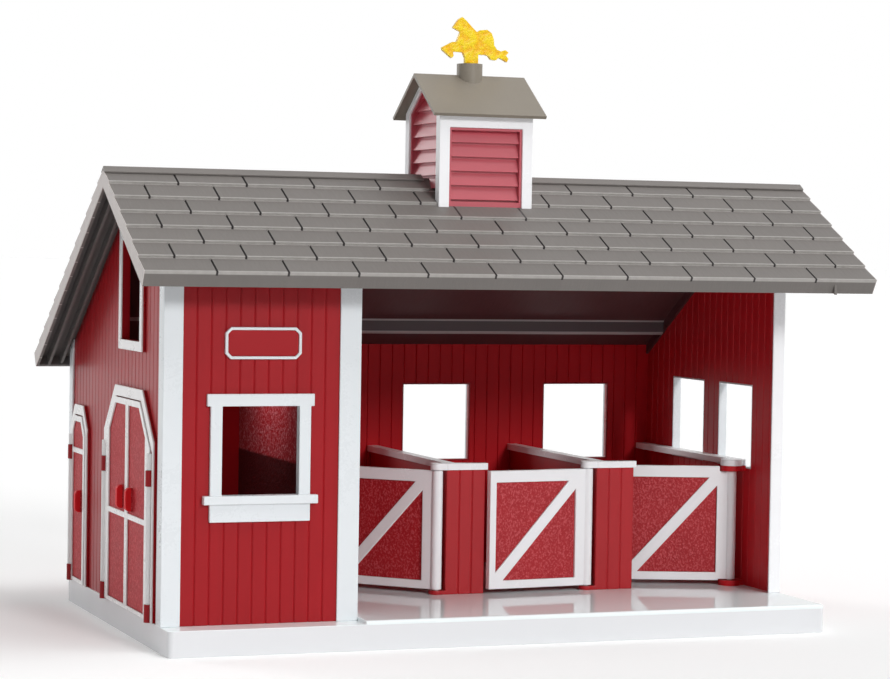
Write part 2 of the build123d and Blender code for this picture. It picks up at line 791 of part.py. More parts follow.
with BuildPart() as post_middle_front:
    slab(partition_face - post_front, partition_face + post_height, room_face - post_height, room_face,
         ledge_height, ridge_height)
    slab(partition_face, partition_face + post_height, room_face, room_face + post_side, deck_height, ridge_height)
    cut_to_roof()
finish(post_middle_front.part, "post_middle_front")

with BuildPart() as post_right_front:
    slab(right_face - post_right, right_face + post_height, porch_face - post_height, porch_face,
         deck_height, ridge_height)
    slab(right_face, right_face + post_height, porch_face, porch_face + post_side, deck_height, ridge_height)
    cut_to_roof()
finish(post_right_front.part, "post_right_front")

with BuildPart() as post_back_left:
    slab(left_face - post_height, left_face, back_face - post_back, back_face, ledge_height, ridge_height)
    slab(left_face - post_height, left_face - post_height + post_front, back_face, back_face + post_height,
         deck_height, ridge_height)
    cut_to_roof()
finish(post_back_left.part, "post_back_left")

with BuildPart() as post_back_right:
    slab(right_face, right_face + post_height, back_face - post_back, back_face, deck_height, ridge_height)
    slab(right_face + post_height - post_front, right_face + post_height, back_face, back_face + post_height,
         deck_height, ridge_height)
    cut_to_roof()
finish(post_back_right.part, "post_back_right")


# ================================================================ roof
def shingle_line(point, rows, slope):
    """Stepped outer face from the ridge down, each row's lower lip standing proud of the next row."""
    line = []
    for row in range(1, rows + 1):
        line.append(point(slope * row / rows, 0.0))
        if row < rows:
            line.append(point(slope * row / rows, -shingle_step))
    return line


def slope_outline(point, rows, slope):
    """Section of one roof slope with its fascia."""
    line = [under_peak(shingle_step)] + shingle_line(point, rows, slope)
    line.append(point(slope, -fascia_depth))
    line.append(point(slope - fascia_wall, -fascia_depth))
    line.append(point(slope - fascia_wall, -roof_skin))
    line.append(under_peak())
    return line


def rib_outline(point, slope, depth):
    """Rib under one slope from the ridge to the fascia."""
    return [
        under_peak(),
        point(slope - fascia_wall, -roof_skin),
        point(slope - fascia_wall, -depth),
        under_peak(depth),
    ]


def short_rib(y0, y1, depth):
    """Rib under one slope between two depths."""
    return [
        (y0, under_roof(y0)),
        (y1, under_roof(y1)),
        (y1, under_roof(y1, depth)),
        (y0, under_roof(y0, depth)),
    ]


roof_length = roof_right - roof_left
cupola_x = left + cupola_centre
seat_gap = 0.1


def roof_slope(point, rows, slope):
    """One slope with its barge boards and the ribs that stiffen the gable overhangs."""
    prism(slope_outline(point, rows, slope), Plane.YZ.offset(roof_left), roof_length)
    for x in (roof_left, roof_right - barge_wall):
        prism(rib_outline(point, slope, fascia_depth), Plane.YZ.offset(x), barge_wall)
    for offset, depth in zip(rib_offsets, (rib_depth, fascia_depth)):
        prism(rib_outline(point, slope, depth), Plane.YZ.offset(left - offset - rib_wall / 2), rib_wall)
        prism(rib_outline(point, slope, depth), Plane.YZ.offset(right + offset - rib_wall / 2), rib_wall)


def shingle_slits(point, rows, slope, lift):
    """V slits down each row that part it into shingles, staggered from row to row."""
    half = shingle_slit / 2
    covered = cupola_width / 2 + 1
    for row in range(rows):
        top_y, top_z = point(slope * row / rows, -shingle_step)
        low_y, low_z = point(slope * (row + 1) / rows, 0.0)
        length = math.hypot(low_y - top_y, low_z - top_z)
        down = ((low_y - top_y) / length, (low_z - top_z) / length)
        start = ridge_strip_width + 0.2 if row == 0 else 0.15
        top = Plane((0, top_y + down[0] * start, top_z + down[1] * start),
                    x_dir=(1, 0, 0), z_dir=(0, down[0], down[1]))
        first = roof_left + shingle_length * (1 - 0.5 * (row % 2))
        under_cupola = abs(top_y - ridge_y) < cupola_depth / 2 + 1
        with BuildSketch(top) as slits:
            for index in range(math.ceil((roof_right - first) / shingle_length)):
                x = first + index * shingle_length
                if under_cupola and abs(x - cupola_x) < covered:
                    continue
                Polygon((x - half, lift * 0.2), (x, -lift * shingle_slit_depth), (x + half, lift * 0.2))
        extrude(slits.sketch, amount=length - start + 1, mode=Mode.SUBTRACT)


def cupola_seat(side):
    """Flat seat for the cupola on one slope."""
    peak = under_peak(shingle_step)
    y1 = ridge_y + side * (cupola_depth / 2 + seat_gap)
    outline = [peak, (y1, under_roof(y1, shingle_step)), (y1, ridge_height + 5), (peak[0], ridge_height + 5)]
    x0 = cupola_x - cupola_width / 2 - seat_gap
    prism(outline, Plane.YZ.offset(x0), cupola_width + 2 * seat_gap, Mode.SUBTRACT)


with BuildPart() as roof_front:
    roof_slope(on_front, front_row_count, front_slope)
    shingle_slits(on_front, front_row_count, front_slope, 1)
    cupola_seat(-1)
    eave_y = on_front(front_slope - fascia_wall, 0)[0]
    for y0, y1 in ((eave_y, porch_face - post_height), (porch_face, ridge_y - 1.0)):
        prism(short_rib(y0, y1, rib_depth), Plane.YZ.offset(inner_right - rib_wall), rib_wall)
finish(roof_front.part, "roof_front")

with BuildPart() as roof_back:
    roof_slope(on_back, back_row_count, back_slope)
    shingle_slits(on_back, back_row_count, back_slope, -1)
    cupola_seat(1)
    prism(short_rib(ridge_y + 1.0, inner_back - leaf_gap, rib_depth),
          Plane.YZ.offset(inner_right - rib_wall), rib_wall)
    tie_y = inner_back - tie_inset
    prism(short_rib(tie_y - tie_wall / 2, tie_y + tie_wall / 2, tie_depth), Plane.YZ.offset(partition_face),
          inner_right - rib_wall - partition_face)
finish(roof_back.part, "roof_back")

low_front = -shingle_step * (1 - ridge_strip_width * front_row_count / front_slope)
low_back = -shingle_step * (1 - ridge_strip_width * back_row_count / back_slope)
strip_section = [
    under_peak(shingle_step),
    on_front(ridge_strip_width, low_front),
    on_front(ridge_strip_width, low_front + ridge_strip_height),
    (ridge_y, ridge_height + ridge_strip_height * 0.6),
    on_back(ridge_strip_width, low_back + ridge_strip_height),
    on_back(ridge_strip_width, low_back),
]
strip_gap = cupola_width / 2 + 2 * seat_gap

with BuildPart() as ridge_strip_left:
    prism(strip_section, Plane.YZ.offset(roof_left), cupola_x - strip_gap - roof_left)
finish(ridge_strip_left.part, "ridge_strip_left")

with BuildPart() as ridge_strip_right:
    prism(strip_section, Plane.YZ.offset(cupola_x + strip_gap), roof_right - cupola_x - strip_gap)
finish(ridge_strip_right.part, "ridge_strip_right")


# ================================================================ cupola
cupola_tan = math.tan(math.radians(cupola_slope))
cupola_cos = math.cos(math.radians(cupola_slope))
cupola_x0 = cupola_x - cupola_width / 2
cupola_x1 = cupola_x + cupola_width / 2
cupola_y0 = ridge_y - cupola_depth / 2
cupola_y1 = ridge_y + cupola_depth / 2


def cupola_eave(y, depth):
    """Height over y of a plane at a depth under the cupola roof's outer face."""
    return cupola_ridge - abs(y - ridge_y) * cupola_tan - depth / cupola_cos


def cupola_section(y0, y1, depth):
    """Section between the main roof's seat and a depth under the cupola roof."""
    return [
        (y0, under_roof(y0, shingle_step)),
        under_peak(shingle_step),
        (y1, under_roof(y1, shingle_step)),
        (y1, cupola_eave(y1, depth)),
        (ridge_y, cupola_eave(ridge_y, depth)),
        (y0, cupola_eave(y0, depth)),
    ]


side_opening = cupola_section(cupola_y0 + cupola_post, cupola_y1 - cupola_post, cupola_roof_skin + cupola_rake)

with BuildPart() as cupola_frame:
    prism(cupola_section(cupola_y0, cupola_y1, cupola_roof_skin), Plane.YZ.offset(cupola_x0), cupola_width)
    inside = cupola_section(cupola_y0 + cupola_wall, cupola_y1 - cupola_wall, 0.0)
    prism(inside, Plane.YZ.offset(cupola_x0 + cupola_wall), cupola_width - 2 * cupola_wall, Mode.SUBTRACT)
    slab(cupola_x0 + cupola_post, cupola_x1 - cupola_post, cupola_y0 - 1, cupola_y1 + 1,
         ridge_height - cupola_depth, cupola_header, Mode.SUBTRACT)
    prism(side_opening, Plane.YZ.offset(cupola_x0 - 1), cupola_width + 2, Mode.SUBTRACT)
finish(cupola_frame.part, "cupola_frame")

louvre_back = louvre_deep + louvre_skin


def slats(face, inward, top, bottom, count):
    """Section of a louvre panel: each slat leans out towards its lower edge, with a gap under it."""
    pitch = (top - bottom) / count
    line = []
    for slat in range(count):
        slat_top = top - slat * pitch
        line.append((face + inward * louvre_deep, slat_top))
        line.append((face + inward * louvre_lip, slat_top - pitch + louvre_gap))
        line.append((face + inward * louvre_deep, slat_top - pitch + louvre_gap))
    line.append((face + inward * louvre_deep, bottom))
    line.append((face + inward * louvre_back, bottom))
    line.append((face + inward * louvre_back, top))
    return line


def louvre_panel(face, inward):
    """Slats of the front or back opening between the liner's ends."""
    sill = under_roof(face + inward * louvre_back, shingle_step)
    low = under_roof(face + inward * louvre_reveal, shingle_step)
    edge = face + inward * louvre_reveal
    back_edge = face + inward * louvre_back
    x0 = cupola_x0 + cupola_post
    span = cupola_width - 2 * cupola_post
    prism(slats(face, inward, cupola_header - louvre_liner, sill, louvre_count), Plane.YZ.offset(x0), span)
    liner = [(edge, low), (edge, cupola_header), (back_edge, cupola_header), (back_edge, sill)]
    prism(liner, Plane.YZ.offset(x0), louvre_liner)
    prism(liner, Plane.YZ.offset(x0 + span - louvre_liner), louvre_liner)
    y0, y1 = sorted((edge, back_edge))
    slab(x0, x0 + span, y0, y1, cupola_header - louvre_liner, cupola_header)


with BuildPart() as louvre_front:
    louvre_panel(cupola_y0, 1)
finish(louvre_front.part, "louvre_front")

with BuildPart() as louvre_back_side:
    louvre_panel(cupola_y1, -1)
finish(louvre_back_side.part, "louvre_back")

liner_inset = cupola_post + louvre_liner
liner_hole = cupola_section(cupola_y0 + liner_inset, cupola_y1 - liner_inset,
                            cupola_roof_skin + cupola_rake + louvre_liner)
side_slats = math.ceil((cupola_ridge - under_roof(cupola_y0, shingle_step)) / side_louvre_pitch)
for name, face, inward in (("louvre_left", cupola_x0, 1), ("louvre_right", cupola_x1, -1)):
    with BuildPart() as side_louvre:
        section = slats(face, inward, cupola_ridge, cupola_ridge - side_slats * side_louvre_pitch, side_slats)
        prism(section, Plane.XZ.offset(-cupola_y0 - cupola_post), -(cupola_depth - 2 * cupola_post))
        prism(side_opening, Plane.YZ.offset(cupola_x0 - 1), cupola_width + 2, Mode.INTERSECT)
        with BuildSketch(Plane.YZ.offset(face + inward * louvre_reveal)) as ring:
            Polygon(*side_opening)
            Polygon(*liner_hole, mode=Mode.SUBTRACT)
        extrude(ring.sketch, amount=inward * (louvre_back - louvre_reveal))
    finish(side_louvre.part, name)

with BuildPart() as cupola_roof:
    eave_y = cupola_roof_run
    eave_in = eave_y - cupola_roof_skin * math.sin(math.radians(cupola_slope))
    with BuildSketch(Plane.YZ.offset(cupola_x - cupola_roof_length / 2)) as section:
        Polygon(
            (ridge_y - eave_y, cupola_eave(ridge_y + eave_y, 0)),
            (ridge_y, cupola_ridge),
            (ridge_y + eave_y, cupola_eave(ridge_y + eave_y, 0)),
            (ridge_y + eave_in, cupola_eave(ridge_y + eave_in, cupola_roof_skin)),
            (ridge_y, cupola_eave(ridge_y, cupola_roof_skin)),
            (ridge_y - eave_in, cupola_eave(ridge_y + eave_in, cupola_roof_skin)),
        )
    extrude(amount=cupola_roof_length)
    collar_base = cupola_eave(ridge_y + collar_radius, cupola_roof_skin)
    post(cupola_x, ridge_y, collar_radius, collar_base, collar_top)
    pin_bore = vane_bottom - vane_pin_length - gate_gap
    post(cupola_x, ridge_y, vane_pin + pin_clearance, pin_bore, collar_top, Mode.SUBTRACT)
finish(cupola_roof.part, "cupola_roof")


# ================================================================ weather vane
def figure_part(*points):
    """One straight-edged part of the flat figure."""
    Polygon(*[(u * vane_unit, v * vane_unit) for u, v in points])


with BuildPart() as weather_vane:
    with BuildSketch(Plane((cupola_x, ridge_y, vane_bottom), x_dir=(1, 0, 0), z_dir=(0, -1, 0))):
        # peg, trunk with the neck, head, foreleg, hind legs
        figure_part((-2.5, 0), (3.6, 0), (3.6, 4.6), (-3.6, 4.8), (-2.5, 2.3))
        figure_part((-4.8, 13.6), (-6.6, 9.1), (-5.5, 4.7), (5.9, 3.8), (11.1, 8.3), (10.9, 10.9), (9.8, 13.6),
                    (7.7, 15.0), (4.5, 14.7), (3.0, 13.6), (0, 16.4), (-2.3, 18.7))
        figure_part((-8.4, 15.3), (-6.8, 14.5), (-4.8, 13.6), (-1.5, 15.0), (-2.3, 18.7), (-4.1, 20.1),
                    (-5.7, 19.1), (-7.0, 17.4))
        figure_part((-6.0, 9.1), (-8.6, 9.0), (-13.4, 6.4), (-13.2, 5.3), (-8.9, 1.9), (-8.0, 2.8),
                    (-8.4, 4.7), (-5.0, 4.7))
        figure_part((5.0, 4.5), (8.6, 3.4), (9.8, 1.9), (12.0, 1.7), (13.4, 3.0), (15.5, 2.1), (17.3, 1.1),
                    (18.0, 2.6), (16.8, 4.0), (18.0, 5.3), (16.6, 6.4), (14.5, 5.7), (12.5, 6.4), (11.1, 8.3),
                    (8.0, 8.3))
    extrude(amount=vane_thickness / 2, both=True)
    post(cupola_x, ridge_y, vane_pin, vane_bottom - vane_pin_length, vane_bottom + 0.5)
finish(weather_vane.part, "weather_vane")

# ================================================================ sign board
with BuildPart() as sign_board:
    with BuildSketch(Plane((left + sign_centre, room_face, sign_level), x_dir=(1, 0, 0), z_dir=(0, -1, 0))):
        Rectangle(sign_width - 2 * sign_rim, sign_height - 2 * sign_rim)
        chamfer(vertices(), length=sign_corner)
    extrude(amount=sign_thickness - 0.6)
finish(sign_board.part, "sign_board")

with BuildPart() as sign_rim_ring:
    with BuildSketch(Plane((left + sign_centre, room_face, sign_level), x_dir=(1, 0, 0),
                           z_dir=(0, -1, 0))) as ring:
        Rectangle(sign_width, sign_height)
        chamfer(ring.vertices(), length=sign_corner + sign_rim * 0.586)
        with BuildSketch(mode=Mode.SUBTRACT) as field:
            Rectangle(sign_width - 2 * sign_rim, sign_height - 2 * sign_rim)
            chamfer(field.vertices(), length=sign_corner)
    extrude(amount=sign_thickness)
finish(sign_rim_ring.part, "sign_rim")
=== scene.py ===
import math

import bpy
import bmesh
from mathutils import Matrix, Vector


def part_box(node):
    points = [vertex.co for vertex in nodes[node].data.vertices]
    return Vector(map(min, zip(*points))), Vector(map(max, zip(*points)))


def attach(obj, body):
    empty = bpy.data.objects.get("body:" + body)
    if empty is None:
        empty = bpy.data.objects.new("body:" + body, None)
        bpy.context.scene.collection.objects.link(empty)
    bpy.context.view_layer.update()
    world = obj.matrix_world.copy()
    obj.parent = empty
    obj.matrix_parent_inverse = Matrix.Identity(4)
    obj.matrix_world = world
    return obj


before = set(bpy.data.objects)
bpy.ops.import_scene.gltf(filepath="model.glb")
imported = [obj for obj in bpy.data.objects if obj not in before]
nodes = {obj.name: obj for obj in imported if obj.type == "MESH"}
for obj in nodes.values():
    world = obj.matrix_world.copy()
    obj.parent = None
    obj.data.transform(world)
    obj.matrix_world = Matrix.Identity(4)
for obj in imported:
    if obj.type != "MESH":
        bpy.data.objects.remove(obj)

scene = bpy.context.scene
scene.view_settings.view_transform = "Standard"
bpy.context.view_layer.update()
mm = 0.001
print("frame loaded:", len(nodes), "nodes")


# shader helpers
class Value:
    # wraps a socket so that shader maths reads as an expression
    def __init__(self, finish, socket):
        self.finish = finish
        self.socket = socket

    def maths(self, operation, first, second=0.0):
        return self.finish.add("ShaderNodeMath", {"operation": operation}, {0: first, 1: second})

    def __add__(self, other):
        return self.maths("ADD", self, other)

    def __radd__(self, other):
        return self.maths("ADD", other, self)

    def __sub__(self, other):
        return self.maths("SUBTRACT", self, other)

    def __rsub__(self, other):
        return self.maths("SUBTRACT", other, self)

    def __mul__(self, other):
        return self.maths("MULTIPLY", self, other)

    def __rmul__(self, other):
        return self.maths("MULTIPLY", other, self)

    def __truediv__(self, other):
        return self.maths("DIVIDE", self, other)

    def floor(self):
        return self.maths("FLOOR", self)

    def modulo(self, step):
        return self.maths("FLOORED_MODULO", self, step)

    def absolute(self):
        return self.maths("ABSOLUTE", self)

    def atMost(self, other):
        return self.maths("MINIMUM", self, other)

    def atLeast(self, other):
        return self.maths("MAXIMUM", self, other)

    def clipped(self):
        return self.atLeast(0.0).atMost(1.0)

    def past(self, place, blend):
        # 0 up to a place, then rising to 1 over the blend, both in millimetres
        return ((self - place * mm) / (blend * mm)).clipped()

    def before(self, place, blend):
        # 1 until the blend's width short of a place, then falling to 0 there
        return ((place * mm - self) / (blend * mm)).clipped()


class Finish:
    # one material, world or stage surface and the nodes in it
    def __init__(self, owner):
        owner.use_nodes = True
        self.owner = owner
        self.tree = owner.node_tree
        self.tree.nodes.clear()

    def add(self, kind, settings=None, sockets=None, output=0):
        made = self.tree.nodes.new(kind)
        for name, value in (settings or {}).items():
            if name == "stops":
                self.setStops(made.color_ramp, value)
            else:
                setattr(made, name, value)
        for name, value in (sockets or {}).items():
            socket = made.inputs[name]
            if isinstance(value, Value):
                self.tree.links.new(value.socket, socket)
            else:
                socket.default_value = value
        return Value(self, made.outputs[output]) if made.outputs else made

    def setStops(self, ramp, stops):
        while len(ramp.elements) < len(stops):
            ramp.elements.new(0.5)
        for element, (place, shade) in zip(ramp.elements, stops):
            element.position = place
            element.color = (shade, shade, shade, 1.0)

    def along(self, axis):
        # where a point lies along X, Y or Z, in metres
        point = self.add("ShaderNodeTexCoord", output="Object")
        return self.add("ShaderNodeSeparateXYZ", {}, {"Vector": point}, output=axis)

    def noise(self, size, stretch=(1.0, 1.0, 1.0), detail=3.0, rough=0.5):
        # size is the grain's width in millimetres, and stretch under 1 draws it out along that axis
        point = self.add("ShaderNodeTexCoord", output="Object")
        stretched = self.add("ShaderNodeMapping", {}, {"Vector": point, "Scale": stretch})
        return self.add("ShaderNodeTexNoise", {"noise_dimensions": "3D"}, {
            "Vector": stretched, "Scale": 1.0 / (size * mm), "Detail": detail, "Roughness": rough})

    def chance(self, column, row=0.5):
        # one chance value between 0 and 1 for each board or tile
        cell = self.add("ShaderNodeCombineXYZ", {}, {"X": column, "Y": row, "Z": 0.5})
        return self.add("ShaderNodeTexWhiteNoise", {"noise_dimensions": "3D"}, {"Vector": cell})

    def mix(self, factor, first, second):
        # the node's two colours are its sockets 6 and 7, and its colour output is 2
        ends = [end if isinstance(end, Value) else (*end, 1.0) for end in (first, second)]
        return self.add("ShaderNodeMix", {"data_type": "RGBA"}, {0: factor, 6: ends[0], 7: ends[1]}, output=2)

    def bump(self, height, strength, distance):
        return self.add("ShaderNodeBump", {}, {"Height": height, "Strength": strength, "Distance": distance})


view = {
    "place": (-422.64, -1129.17, 166.76),    # millimetres from the middle of the base's underside
    "turn": 20.63,                           # degrees from +Y towards +X
    "tip": -1.92,
    "roll": 0.93,
    "focalPixels": 2649.65,
    "imageWidth": 890,
    "sensor": 36.0,
    "nearest": 10.0,                         # only what lies between these two is drawn
    "farthest": 100000.0,
}


def makeCamera(setup):
    turn, tip, roll = (math.radians(setup[name]) for name in ("turn", "tip", "roll"))
    ahead = Vector((math.sin(turn) * math.cos(tip), math.cos(turn) * math.cos(tip), math.sin(tip)))
    level = Vector((math.cos(turn), -math.sin(turn), 0.0))
    upright = level.cross(ahead)
    across = math.cos(roll) * level + math.sin(roll) * upright
    rise = math.cos(roll) * upright - math.sin(roll) * level
    lens = bpy.data.cameras.new("camera")
    lens.sensor_width = setup["sensor"]
    lens.lens = setup["focalPixels"] * setup["sensor"] / setup["imageWidth"]
    lens.clip_start = setup["nearest"] * mm
    lens.clip_end = setup["farthest"] * mm
    camera = bpy.data.objects.new("camera", lens)
    turned = Matrix((across, rise, -ahead)).transposed().to_4x4()
    camera.matrix_world = Matrix.Translation(Vector(setup["place"]) * mm) @ turned
    scene.collection.objects.link(camera)
    scene.camera = camera


makeCamera(view)
print("camera set")

studio = {
    # lengths in millimetres
    "skyLight": 0.29,
    "floorHalfWidth": 30000.0,
    "floorShade": 0.9,
    "floorGlow": 0.17,
    # heading is in degrees from the front towards +X, height in degrees above the floor
    "keyLamp": {"strength": 1.26, "heading": 12.0, "height": 20.0, "spread": 12.0},
    "highLamp": {"strength": 0.85, "heading": 38.0, "height": 62.0, "spread": 30.0},
    "topLamp": {"strength": 0.66, "heading": 80.0, "height": 60.0, "spread": 34.0},
    "behindLamp": {"strength": 0.9, "heading": -148.0, "height": 17.0, "spread": 20.0},
    "roomLamp": {"power": 0.010, "size": 28.0, "spread": 100.0,
                 "place": (-102.0, 34.0, 132.0), "aim": (-68.0, 36.0, 88.0)},
}


def seenDirectly(finish):
    # 1 for what the camera, a reflection or a see-through part looks at
    rays = finish.add("ShaderNodeLightPath").socket.node.outputs
    camera, glossy, through = (Value(finish, rays[name]) for name in
                               ("Is Camera Ray", "Is Glossy Ray", "Is Transmission Ray"))
    return camera.atLeast(glossy).atLeast(through)


def makeSky(setup):
    world = bpy.data.worlds.new("sky")
    scene.world = world
    sky = Finish(world)
    seen = seenDirectly(sky)
    strength = seen * (1.0 - setup["skyLight"]) + setup["skyLight"]
    light = sky.add("ShaderNodeBackground", {}, {"Color": (1.0, 1.0, 1.0, 1.0), "Strength": strength})
    sky.add("ShaderNodeOutputWorld", {}, {"Surface": light})


def makeFloor(setup):
    plane = bmesh.new()
    bmesh.ops.create_grid(plane, x_segments=1, y_segments=1, size=setup["floorHalfWidth"] * mm)
    mesh = bpy.data.meshes.new("floor")
    plane.to_mesh(mesh)
    plane.free()
    floor = bpy.data.objects.new("floor", mesh)
    scene.collection.objects.link(floor)
    paper = Finish(bpy.data.materials.new("paleFloor"))
    shade = setup["floorShade"]
    matt = paper.add("ShaderNodeBsdfDiffuse", {}, {"Color": (shade, shade, shade, 1.0)})
    strength = seenDirectly(paper) * setup["floorGlow"]
    glow = paper.add("ShaderNodeEmission", {}, {"Color": (1.0, 1.0, 1.0, 1.0), "Strength": strength})
    both = paper.add("ShaderNodeAddShader", {}, {0: matt, 1: glow})
    paper.add("ShaderNodeOutputMaterial", {}, {"Surface": both})
    mesh.materials.append(paper.owner)


def makeLamp(name, setup):
    lamp = bpy.data.lights.new(name, "SUN")
    lamp.energy = setup["strength"]
    lamp.angle = math.radians(setup["spread"])
    held = bpy.data.objects.new(name, lamp)
    heading, height = math.radians(setup["heading"]), math.radians(setup["height"])
    flat = Vector((math.sin(heading), -math.cos(heading), 0.0)) * math.cos(height)
    towards = flat + Vector((0.0, 0.0, math.sin(height)))
    held.rotation_euler = towards.to_track_quat("Z", "Y").to_euler()
    scene.collection.objects.link(held)


def makeRoomLamp(setup):
    # stands for the daylight that comes into the room through its thin roof
    lamp = bpy.data.lights.new("roomLamp", "AREA")
    lamp.energy = setup["power"]
    lamp.size = setup["size"] * mm
    lamp.spread = math.radians(setup["spread"])
    held = bpy.data.objects.new("roomLamp", lamp)
    held.location = Vector(setup["place"]) * mm
    backwards = Vector(setup["place"]) - Vector(setup["aim"])
    held.rotation_euler = backwards.to_track_quat("Z", "Y").to_euler()
    held.visible_camera = False
    scene.collection.objects.link(held)


makeSky(studio)
makeFloor(studio)
makeRoomLamp(studio["roomLamp"])
for lampName in ("keyLamp", "highLamp", "topLamp", "behindLamp"):
    makeLamp(lampName, studio[lampName])
print("stage set")

plastics = {
    "red": {"colour": (0.36, 0.006, 0.011), "spread": 0.10, "roughness": 0.36, "specular": 0.22},
    "backRed": {"colour": (0.36, 0.006, 0.011), "spread": 0.10, "roughness": 0.42, "specular": 0.10},
    "stallRed": {"colour": (0.46, 0.010, 0.016), "spread": 0.10, "roughness": 0.34, "specular": 0.35},
    "pebbledRed": {"colour": (0.40, 0.012, 0.018), "spread": 0.20, "roughness": 0.45, "specular": 0.3},
    "doorRed": {"colour": (0.40, 0.012, 0.018), "spread": 0.20, "roughness": 0.5, "specular": 0.12},
    # the slats' pinker red is partly a painted sky reflection on top of their own red
    "slatRedAndSheen": {"colour": (0.47, 0.06, 0.085), "spread": 0.10, "roughness": 0.30, "specular": 0.7},
    "white": {"colour": (0.78, 0.815, 0.84), "spread": 0.008, "roughness": 0.28, "specular": 0.4,
              "skin": 0.3},
    # a brighter copy of the white, painted light where the light is stronger on the right and in the stalls
    "paintedLitWhite": {"colour": (0.95, 0.95, 0.97), "spread": 0.012, "roughness": 0.26, "specular": 0.45,
                   "skin": 0.3},
    "doorWhite": {"colour": (0.93, 0.92, 0.92), "spread": 0.01, "roughness": 0.28, "specular": 0.4,
                  "skin": 0.3},
    "base": {"colour": (0.79, 0.80, 0.82), "spread": 0.012, "roughness": 0.20, "specular": 0.25},
    "grey": {"colour": (0.188, 0.172, 0.161), "spread": 0.12, "roughness": 0.50, "specular": 0.3},
    "capGrey": {"colour": (0.235, 0.205, 0.165), "spread": 0.14, "roughness": 0.45, "specular": 0.4},
    "yellow": {"colour": (0.93, 0.68, 0.012), "spread": 0.10, "roughness": 0.38, "specular": 0.25},
}

mouldedSkin = {
    # sizes and depth in millimetres, and each share is that of the first of two noises
    "drift": 22.0, "speck": 1.1, "driftShare": 0.65, "glossDrift": 0.12,
    "grain": 0.7, "wave": 9.0, "grainShare": 0.25, "depth": 0.06, "strength": 0.35,
    "refraction": 1.5,
}


def shaded(colour, amount):
    return tuple(min(1.0, channel * amount) for channel in colour)


def blended(first, second, share):
    return first * share + second * (1.0 - share)


def plastic(name, setup, texture=None):
    # moulded plastic: a slow drift of colour and gloss, and a fine skin
    skin = mouldedSkin
    finish = Finish(bpy.data.materials.new(name))
    drift = finish.noise(skin["drift"], detail=2.0)
    speck = finish.noise(skin["speck"], detail=4.0, rough=0.6)
    tone = blended(drift, speck, skin["driftShare"]).clipped()
    dark = shaded(setup["colour"], 1.0 - setup["spread"])
    light = shaded(setup["colour"], 1.0 + setup["spread"])
    grain, wave = finish.noise(skin["grain"], detail=3.0), finish.noise(skin["wave"], detail=1.0)
    look = {"colour": finish.mix(tone, dark, light),
            "roughness": setup["roughness"] + (tone - 0.5) * skin["glossDrift"],
            "height": blended(grain, wave, skin["grainShare"]),
            "depth": skin["depth"] * mm,
            "strength": skin["strength"] * setup.get("skin", 1.0)}
    if texture:
        texture(finish, look)
    normal = finish.bump(look["height"], look["strength"], look["depth"])
    shader = finish.add("ShaderNodeBsdfPrincipled", {}, {
        "Base Color": look["colour"], "Roughness": look["roughness"], "Normal": normal,
        "IOR": skin["refraction"], "Specular IOR Level": setup["specular"]})
    finish.add("ShaderNodeOutputMaterial", {}, {"Surface": shader})
    return finish.owner


# faces that the paint and the tones keep to
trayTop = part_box("base_tray")[1][2] / mm
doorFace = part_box("double_door_surround")[0][0] / mm
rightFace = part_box("right_gable_wall")[1][0] / mm
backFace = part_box("back_wall")[1][1] / mm

# the deck's colour is painted light: brighter and bluer than the tray's white
deck = {"depth": 1.8, "blend": 0.1, "colour": (0.90, 0.96, 0.97), "gloss": 0.65, "smoothness": 0.8}


def deckGlossAndPaintedLight(finish, look):
    # the deck and its rim, down to a little under their top, are a glossier white than the tray, and their
    # brighter, bluer white is painted light that offsets the shade and red bounce under the roof
    top = finish.along("Z").past(trayTop - deck["depth"], deck["blend"])
    look["colour"] = finish.mix(top, look["colour"], deck["colour"])
    look["roughness"] = look["roughness"] * (1.0 - top * deck["gloss"])
    look["height"] = look["height"] * (1.0 - top * deck["smoothness"])


pebbles = {
    "size": 0.8, "stretch": (1.0, 1.0, 0.75), "starts": 0.47, "ends": 0.68,
    "colour": (0.76, 0.15, 0.17), "share": 0.5, "dulling": 0.08, "depth": 0.4, "strength": 0.9,
}


def pebbled(finish, look):
    # small raised pebbles, a little taller than wide, whose lighter tops are a painted highlight
    pebble = finish.noise(pebbles["size"], stretch=pebbles["stretch"], detail=2.0, rough=0.6)
    stops = ((pebbles["starts"], 0.0), (pebbles["ends"], 1.0))
    # the lighter pebble tops are a painted highlight
    ridge = finish.add("ShaderNodeValToRGB", {"stops": stops}, {"Fac": pebble})
    look["colour"] = finish.mix(ridge * pebbles["share"], look["colour"], pebbles["colour"])
    look["roughness"] = look["roughness"] + ridge * pebbles["dulling"]
    look.update(height=pebble, depth=pebbles["depth"] * mm, strength=pebbles["strength"])


pulls = {"proud": 0.35, "blend": 0.1, "colour": (0.72, 0.014, 0.02)}


def doorPanel(finish, look):
    # pebbled like the gates, but the pull that stands out in front is smooth
    pebbled(finish, look)
    pull = finish.along("X").before(doorFace - pulls["proud"], pulls["blend"])
    look["colour"] = finish.mix(pull, look["colour"], pulls["colour"])
    look["height"] = look["height"] * (1.0 - pull)


partition = {
    "middle": sum(corner[0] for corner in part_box("partition_wall")) / 2 / mm, "blend": 0.2,
    # the glint colour is a painted highlight on the pebble tops
    "paintedGlintColour": (0.80, 0.42, 0.46), "paintedGlintFrom": 0.5, "paintedGlintRise": 5.0, "paintedGlintShare": 0.6,
    "brownColour": (0.035, 0.006, 0.006), "brownTop": 71.5, "brownBlend": 1.2, "brownShare": 0.9,
}


